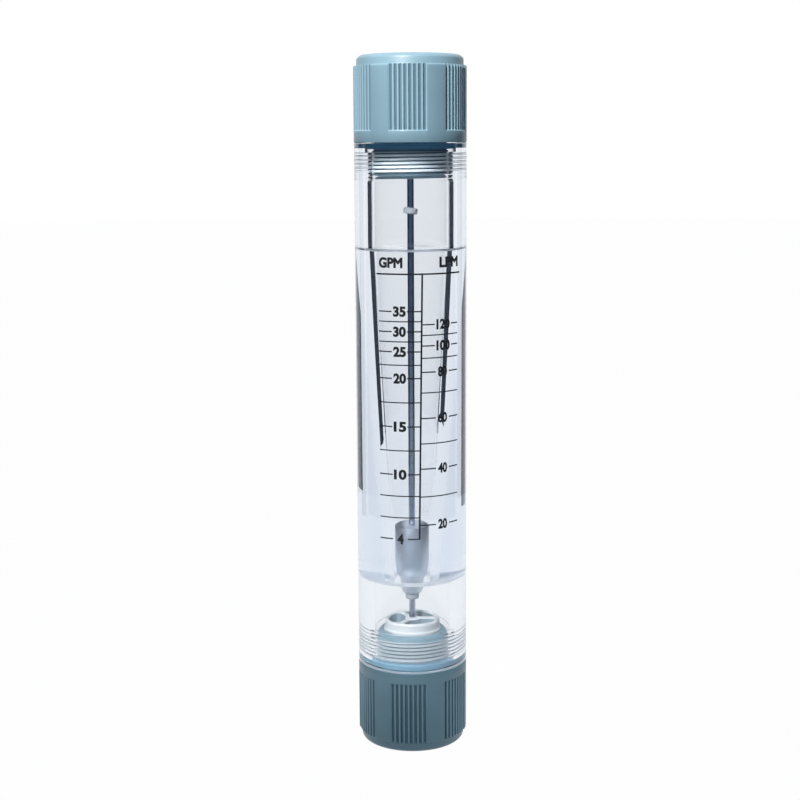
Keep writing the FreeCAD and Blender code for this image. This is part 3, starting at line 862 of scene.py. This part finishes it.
def turning_marks():
    """Shader group for turned or ground metal: fine rings round the axis, with a few deeper ones."""
    group = bpy.data.node_groups.new("turning_marks", "ShaderNodeTree")
    given, result = open_sockets(
        group,
        (("Vector", "Vector"), ("Colour", "Color"), ("Depth", "Float"), ("Gloss", "Float")),
        (("Colour", "Color"), ("Roughness", "Float"), ("Normal", "Vector")),
    )
    link = group.links.new
    ring_depth = 0.00002
    along = group.nodes.new("ShaderNodeMapping")
    along.inputs["Scale"].default_value = (20, 20, 2400)
    link(given.outputs["Vector"], along.inputs["Vector"])
    feed_marks = noise(group, along.outputs["Vector"], 1.0, 3.0)
    shade = group.nodes.new("ShaderNodeMapRange")
    shade.inputs["To Min"].default_value = 0.88
    shade.inputs["To Max"].default_value = 1.1
    link(feed_marks, shade.inputs["Value"])
    link(toned(group, given.outputs["Colour"], shade.outputs["Result"]), result.inputs["Colour"])
    cloud = noise(group, given.outputs["Vector"], 180.0)
    link(worked_out(group, "MULTIPLY_ADD", cloud, 0.15, given.outputs["Gloss"]), result.inputs["Roughness"])
    link(bump(group, feed_marks, given.outputs["Depth"], ring_depth), result.inputs["Normal"])
    return group


turned = turning_marks()


def turned_metal(name, colour, depth, gloss):
    """A turned or ground metal."""
    material, shader = finished(name, turned, colour, Depth=depth, Gloss=gloss)
    shader.inputs["Metallic"].default_value = 1.0
    return material


rod_steel = turned_metal("ground_rod_steel", (0.4, 0.45, 0.53), 0.25, 0.12)
low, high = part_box("guide_rod")
rod_foot, rod_head, rod_radius = low.z / MM, high.z / MM, high.x / MM
upper_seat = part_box("upper_rod_holder")[0].z / MM
end_radius, end_edge, step_edge = 1.46, 0.3, 0.05
outline = (
    (0, rod_foot),
    (end_radius - end_edge, rod_foot),
    (end_radius, rod_foot + end_edge),
    (end_radius, crown_top),
    (rod_radius - step_edge, crown_top),
    (rod_radius, crown_top + step_edge),
    (rod_radius, upper_seat - step_edge),
    (rod_radius - step_edge, upper_seat),
    (end_radius, upper_seat),
    (end_radius, rod_head - end_edge),
    (end_radius - end_edge, rod_head),
    (0, rod_head),
)
rod = skin("ground_rod", rings(even_columns(64), outline))
rod.data.materials.append(rod_steel)
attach(rod, "base")
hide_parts("guide_rod")
for node in ("lower_rod_washer", "upper_rod_washer", "lower_rod_nut", "upper_rod_nut"):
    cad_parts[node].data.materials[0] = rod_steel

# ---- Float stops ----
# Small bushes of milky, half-clear nylon, pushed on to the rod. The upper one sits a little askew on it.
stop_nylon, shader = moulded_plastic("milky_nylon", (0.8, 0.85, 0.9), 0.03, 0.3, 0.3)
shader.inputs["Transmission Weight"].default_value = 0.35
stop_bore, bore_edge, soft = rod_radius + 0.05, 0.2, 0.9
clearance = 0.02  # between the leaning stop's lowest edge and the float at the top of its travel
bends = np.linspace(0, math.pi / 2, 6)
for node, tilt in (("lower_float_stop", 0.0), ("upper_float_stop", 9.0)):
    low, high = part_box(node)
    foot, head, out = low.z / MM, high.z / MM, high.x / MM
    outline = [(stop_bore, foot + bore_edge), (stop_bore + bore_edge, foot)]
    outline += [(out - soft + soft * math.sin(a), foot + soft - soft * math.cos(a)) for a in bends]
    outline += [(out - soft + soft * math.cos(a), head - soft + soft * math.sin(a)) for a in bends]
    outline += [(stop_bore + bore_edge, head), (stop_bore, head - bore_edge)]
    stop = skin(node.replace("_float_stop", "_nylon_stop"), rings(even_columns(64), outline))
    stop.data.materials.append(stop_nylon)
    if tilt:
        centre = Vector((0, 0, (foot + head) / 2 * MM))
        lean = Matrix.Rotation(math.radians(tilt), 4, "Y")
        stop.data.transform(Matrix.Translation(centre) @ lean @ Matrix.Translation(-centre))
        lowest = min(v.co.z for v in stop.data.vertices)
        stop.data.transform(Matrix.Translation((0, 0, (foot + clearance) * MM - lowest)))
    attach(stop, "base")
    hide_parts(node)

# ---- Float ----
# Turned stainless steel: a plain barrel on a bullet nose, bored to slide on the rod. The flow is read at its
# top edge.
low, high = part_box("float_body")
float_foot, float_head, float_radius = low.z / MM, high.z / MM, high.x / MM
float_bore, float_bore_edge, top_edge = 1.68, 0.45, 0.2
nose_height, tip_out, waist_out = 3.5, 3.4, 6.0
# the ogive runs from the nose's waist up to the barrel
nose_waist, shoulder, ogive_start = float_foot + 9.5, float_foot + 20.0, 6.5
rise, run = float_radius - ogive_start, shoulder - nose_waist
ogive_radius = (rise**2 + run**2) / (2 * rise)
outline = [(float_bore, float_foot + float_bore_edge), (float_bore + float_bore_edge, float_foot)]
for bend in np.linspace(0, math.pi / 2, 8):
    out = tip_out + (waist_out - tip_out) * math.sin(bend) ** 0.9
    outline.append((out, float_foot + nose_height * (1 - math.cos(bend) ** 0.9)))
for up in np.linspace(0, run, 13):
    out = float_radius - ogive_radius + math.sqrt(ogive_radius**2 - (run - up) ** 2)
    outline.append((out, nose_waist + up))
outline += [
    (float_radius, float_head - top_edge),
    (float_radius - 0.3 * top_edge, float_head - 0.3 * top_edge),
    (float_radius - top_edge, float_head),
    (float_bore + float_bore_edge, float_head),
    (float_bore, float_head - float_bore_edge),
]
float_piece = skin("steel_float", rings(even_columns(160), outline), sharp=28)
float_steel = turned_metal("satin_float_steel", (0.64, 0.69, 0.76), 0.5, 0.3)
float_piece.data.materials.append(float_steel)
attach(float_piece, "float")
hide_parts("float_body")

# ---- Studio ----
# A pale floor in a white room, with one spotlight on the upper fitting and one on the holder's crown. The
# cards round the meter show only in glass and metal: dark ones draw the edges of clear things, and pale ones
# brighten them. Two flags keep scattered light off the sides of the upper fitting.
camera_turn = 10.0  # the camera stands this far round from the scale's middle line, to its left


def bare_surface(name, corners, faces, material):
    """A plain surface of the studio, which belongs to no piece."""
    mesh = bpy.data.meshes.new(name)
    mesh.from_pydata(corners, [], faces)
    mesh.materials.append(material)
    surface = in_scene(name, mesh)
    return surface


def seen_mask(tree):
    """One for what the camera, metal and glass see, and nothing for light that scatters."""
    path = tree.nodes.new("ShaderNodeLightPath")
    seen = path.outputs["Is Camera Ray"]
    for ray in ("Is Glossy Ray", "Is Transmission Ray"):
        seen = worked_out(tree, "MAXIMUM", seen, path.outputs[ray])
    unscattered = worked_out(tree, "LESS_THAN", path.outputs["Diffuse Depth"], 0.5)
    return worked_out(tree, "MULTIPLY", seen, unscattered)


def either(tree, share, first, second, output):
    """Shows the first shader where the share is nothing, and the second where it is one."""
    mix = tree.nodes.new("ShaderNodeMixShader")
    tree.links.new(share, mix.inputs["Fac"])
    tree.links.new(first.outputs[0], mix.inputs[1])
    tree.links.new(second.outputs[0], mix.inputs[2])
    tree.links.new(mix.outputs[0], tree.nodes[output].inputs["Surface"])


world = bpy.data.worlds.new("studio_room")
bpy.context.scene.world = world
world.use_nodes = True
tree = world.node_tree
room = tree.nodes["Background"]
room.inputs["Color"].default_value = (0.64, 0.87, 1.0, 1)
room.inputs["Strength"].default_value = 0.28
white = tree.nodes.new("ShaderNodeBackground")
white.inputs["Color"].default_value = (1, 1, 1, 1)
white.inputs["Strength"].default_value = 1.0
either(tree, seen_mask(tree), room, white, "World Output")

floor_paint, shader, tree = new_material("floor_paint")
shader.inputs["Base Color"].default_value = (0.85, 0.86, 0.88, 1)
shader.inputs["Roughness"].default_value = 0.9
white = tree.nodes.new("ShaderNodeEmission")
white.inputs["Color"].default_value = (1, 1, 1, 1)
whitened = 0.985  # how much of the floor shows as plain white
either(tree, worked_out(tree, "MULTIPLY", seen_mask(tree), whitened), shader, white, "Material Output")
floor_reach, floor_level, floor_sides = 6.0, -0.0002, 96
around = np.linspace(0, TURN, floor_sides, endpoint=False)
edge = [(floor_reach * math.cos(a), floor_reach * math.sin(a), floor_level) for a in around]
bare_surface("floor", edge, [tuple(range(floor_sides))], floor_paint)


def card_material(name, colour, glow_colour, glow, met_after):
    """Paint met only on some paths, given as the least and most bounces of each kind that came before."""
    material, shader, tree = new_material(name)
    shader.inputs["Base Color"].default_value = (*colour, 1)
    shader.inputs["Roughness"].default_value = 0.9
    shader.inputs["Specular IOR Level"].default_value = 0.0
    shader.inputs["Emission Color"].default_value = (*glow_colour, 1)
    shader.inputs["Emission Strength"].default_value = glow
    path = tree.nodes.new("ShaderNodeLightPath")
    met = 1.0
    for kind, (least, most) in met_after.items():
        count = path.outputs[kind + " Depth"]
        met = worked_out(tree, "MULTIPLY", met, worked_out(tree, "GREATER_THAN", count, least - 0.5))
        met = worked_out(tree, "MULTIPLY", met, worked_out(tree, "LESS_THAN", count, most + 0.5))
    either(tree, met, tree.nodes.new("ShaderNodeBsdfTransparent"), shader, "Material Output")
    return material


any_number = 99
# how a card is met: through clear things, after a reflection inside them, off outer faces, or scattered
through_clear = {"Diffuse": (0, 0), "Glossy": (0, 1)}
inside_clear = {"Diffuse": (0, 0), "Glossy": (1, 1), "Transmission": (3, any_number)}
off_faces = {"Glossy": (1, any_number), "Transmission": (0, 0)}
scattered = {"Diffuse": (1, any_number)}
blue, cool, black = (0.35, 0.6, 1.0), (0.86, 0.93, 1.0), (0.0, 0.0, 0.0)
card_paint = card_material("card_paint", (0.01, 0.02, 0.045), blue, 0.02, through_clear)
inner_paint = card_material("inner_card_paint", (0.02, 0.035, 0.06), blue, 0.05, inside_clear)
inner_glow = card_material("inner_front_paint", black, (0.7, 0.84, 1.0), 0.17, inside_clear)
low_glow = card_material("inner_low_paint", black, (0.78, 0.9, 1.0), 0.6, inside_clear)
flag_paint = card_material("flag_paint", (0.01, 0.015, 0.02), blue, 0.0, scattered)
sheen_paint = card_material("sheen_paint", black, cool, 1.1, off_faces)


def arc(first, last, count, away, height):
    """A row of points between two angles in degrees from straight behind the meter as the camera looks."""
    headings = np.radians(camera_turn + np.linspace(first, last, count))
    return [(away * math.sin(a), away * math.cos(a), height) for a in headings]


def card_between(name, first_edge, second_edge, paint):
    """A card between two rows of points, which casts no shadow and isn't met by scattered light."""
    count = len(first_edge)
    faces = [(i, i + 1, i + 1 + count, i + count) for i in range(count - 1)]
    card = bare_surface(name, first_edge + second_edge, faces, paint)
    card.visible_camera = False
    card.visible_diffuse = False
    card.visible_shadow = False
    return card


def curved_card(name, first, last, away, foot, head, paint):
    """An upright card round the meter, between two angles and two heights."""
    count = max(2, round(abs(last - first) / 6) + 1)
    edges = [arc(first, last, count, away, height) for height in (foot, head)]
    return card_between(name, *edges, paint)


# name, first and last angle in degrees, distance, foot and head in metres, and paint
for card in (
    ("left_card", -71, -52, 0.55, 0, 0.9, card_paint),
    ("right_card", 51, 72, 0.62, 0, 0.9, card_paint),
    ("front_wall", 78, 282, 0.56, 0, 0.75, card_paint),
    ("inner_left_card", -130, -14, 0.5, 0, 0.9, inner_paint),
    ("inner_right_card", 14, 130, 0.5, 0, 0.9, inner_paint),
    ("inner_front", 130, 230, 0.5, 0.11, 0.9, inner_glow),
    ("inner_low", 130, 230, 0.5, 0, 0.11, low_glow),
    ("sheen_card", 178, 238, 0.5, 0.345, 0.8, sheen_paint),
):
    curved_card(*card)
card_between("inner_floor", *[arc(120, 240, 13, away, 0.002) for away in (0.1, 0.5)], low_glow)
for name, first, last in (("left_flag", -158, -40), ("right_flag", 40, 148)):
    flag = curved_card(name, first, last, 0.1, 0.318, 0.42, flag_paint)
    flag.visible_diffuse = True


def spotlight(name, power, cone, lamp_radius, place, aim_height):
    """A spotlight aimed at a height on the meter's axis, with its cone in degrees."""
    lamp = bpy.data.lights.new(name, "SPOT")
    lamp.energy = power
    lamp.shadow_soft_size = lamp_radius
    lamp.spot_size = math.radians(cone)
    lamp.spot_blend = 1.0
    stand = in_scene(name, lamp)
    stand.location = place
    aim = Vector((0, 0, aim_height))
    stand.rotation_euler = (aim - stand.location).to_track_quat("-Z", "Y").to_euler()


spotlight("key_spot", 15.0, 36, 0.06, (-0.18, -0.32, 0.70), 0.36)
spotlight("crown_spot", 16.0, 9.5, 0.05, (-0.26, -0.44, 0.46), 0.083)

# ---- Camera ----
# It looks a little down on the meter, from its left and from somewhat under a metre away.
camera_data = bpy.data.cameras.new("camera")
camera = in_scene("camera", camera_data)
camera_data.lens = 70.2
camera_data.sensor_width = 36.0
camera_data.clip_start = 0.01
camera_data.clip_end = 50.0
camera_distance, camera_height = 0.832, 0.3272
look_down, swing, roll = 9.39, 0.424, -0.33
turn = math.radians(camera_turn)
camera.location = (-camera_distance * math.sin(turn), -camera_distance * math.cos(turn), camera_height)
level_view = Euler((math.radians(90 - look_down), 0, -math.radians(camera_turn - swing)))
tilted = level_view.to_matrix() @ Matrix.Rotation(math.radians(roll), 3, "Z")
camera.rotation_euler = tilted.to_euler()
bpy.context.scene.camera = camera

bpy.context.scene.view_settings.view_transform = "Standard"
